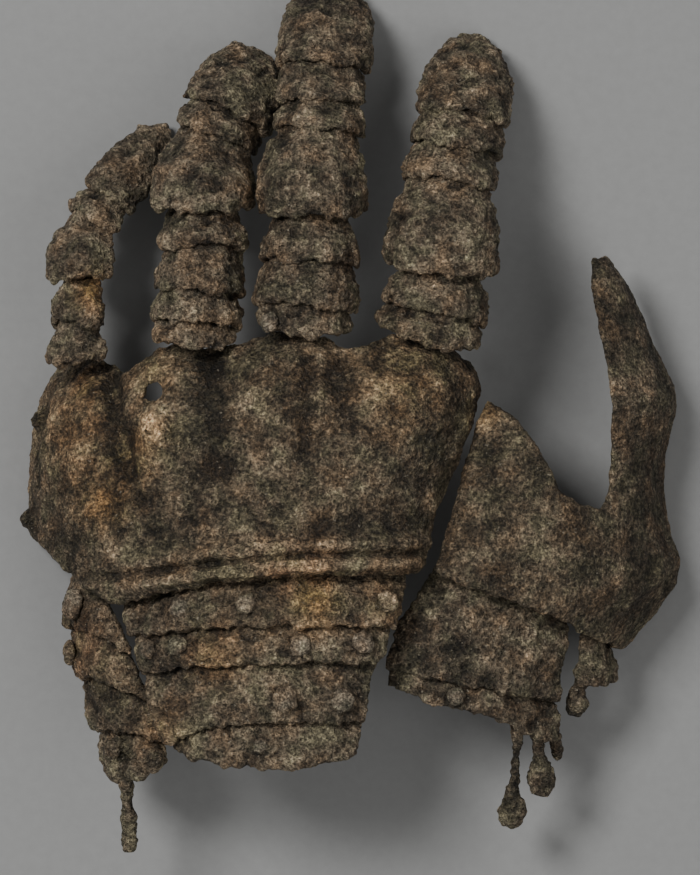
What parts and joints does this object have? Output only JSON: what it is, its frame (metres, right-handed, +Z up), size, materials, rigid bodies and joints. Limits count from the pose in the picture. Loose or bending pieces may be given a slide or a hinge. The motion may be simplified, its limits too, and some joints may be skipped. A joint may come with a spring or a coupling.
{
  "type": "armoured gauntlet",
  "caption": "Left-hand plate gauntlet of corroded iron: hand plate with raised knuckles, laminated fingers, thumb plate with a long tongue, and a lamed cuff, laid palm down.",
  "frame": {"origin": "on the floor, under the middle of the bounding box, with the gauntlet lying palm down", "axes": "+Z up, out of the back of the hand; +Y from the cuff to the fingertips; +X towards the thumb"},
  "size_m": [0.1804, 0.2364, 0.0593],
  "materials": {
    "plate_iron": "thick granular rust crust, dull, with pale and orange stains",
    "lame_iron": "thick flaky rust crust with worn edges, dull",
    "rivet_iron": "worn rust, a little paler and smoother than the plates"
  },
  "bodies": {
    "root": {"little_lame_2": "lame_iron", "little_lame_1": "lame_iron", "little_knuckle": "lame_iron", "little_distal_lame": "lame_iron", "little_tip": "lame_iron", "ring_lame_4": "lame_iron", "ring_lame_3": "lame_iron", "ring_lame_2": "lame_iron", "ring_lame_1": "lame_iron", "ring_knuckle": "lame_iron", "ring_distal_lame": "lame_iron", "ring_tip": "lame_iron", "middle_lame_3_rivet_1": "rivet_iron", "middle_lame_3": "lame_iron", "middle_lame_2": "lame_iron", "middle_lame_1": "lame_iron", "middle_knuckle": "lame_iron", "middle_distal_lame_2": "lame_iron", "middle_distal_lame_1": "lame_iron", "middle_tip": "lame_iron", "index_lame_2": "lame_iron", "index_lame_1": "lame_iron", "index_knuckle": "lame_iron", "index_distal_lame_2": "lame_iron", "index_distal_lame_1": "lame_iron", "index_tip": "lame_iron", "metacarpal_plate": "plate_iron", "wrist_lame_1_rivet_1": "rivet_iron", "wrist_lame_1_rivet_2": "rivet_iron", "wrist_lame_1_rivet_3": "rivet_iron", "wrist_lame_1": "lame_iron", "wrist_lame_2_rivet_1": "rivet_iron", "wrist_lame_2_rivet_2": "rivet_iron", "wrist_lame_2_rivet_3": "rivet_iron", "wrist_lame_2_rivet_4": "rivet_iron", "wrist_lame_2": "lame_iron", "wrist_lame_3_rivet_1": "rivet_iron", "wrist_lame_3_rivet_2": "rivet_iron", "wrist_lame_3": "lame_iron", "wrist_lame_4_rivet_1": "rivet_iron", "wrist_lame_4": "lame_iron", "ulnar_lame_1_rivet_1": "rivet_iron", "ulnar_lame_1": "lame_iron", "ulnar_lame_2_rivet_1": "rivet_iron", "ulnar_lame_2": "lame_iron", "ulnar_lame_3": "lame_iron", "cuff_corner": "lame_iron", "thumb_plate": "plate_iron", "thumb_cuff_lame_1": "lame_iron", "thumb_cuff_lame_2_rivet_1": "rivet_iron", "thumb_cuff_lame_2": "lame_iron", "thumb_side_lame": "lame_iron"}
  },
  "joints": []
}
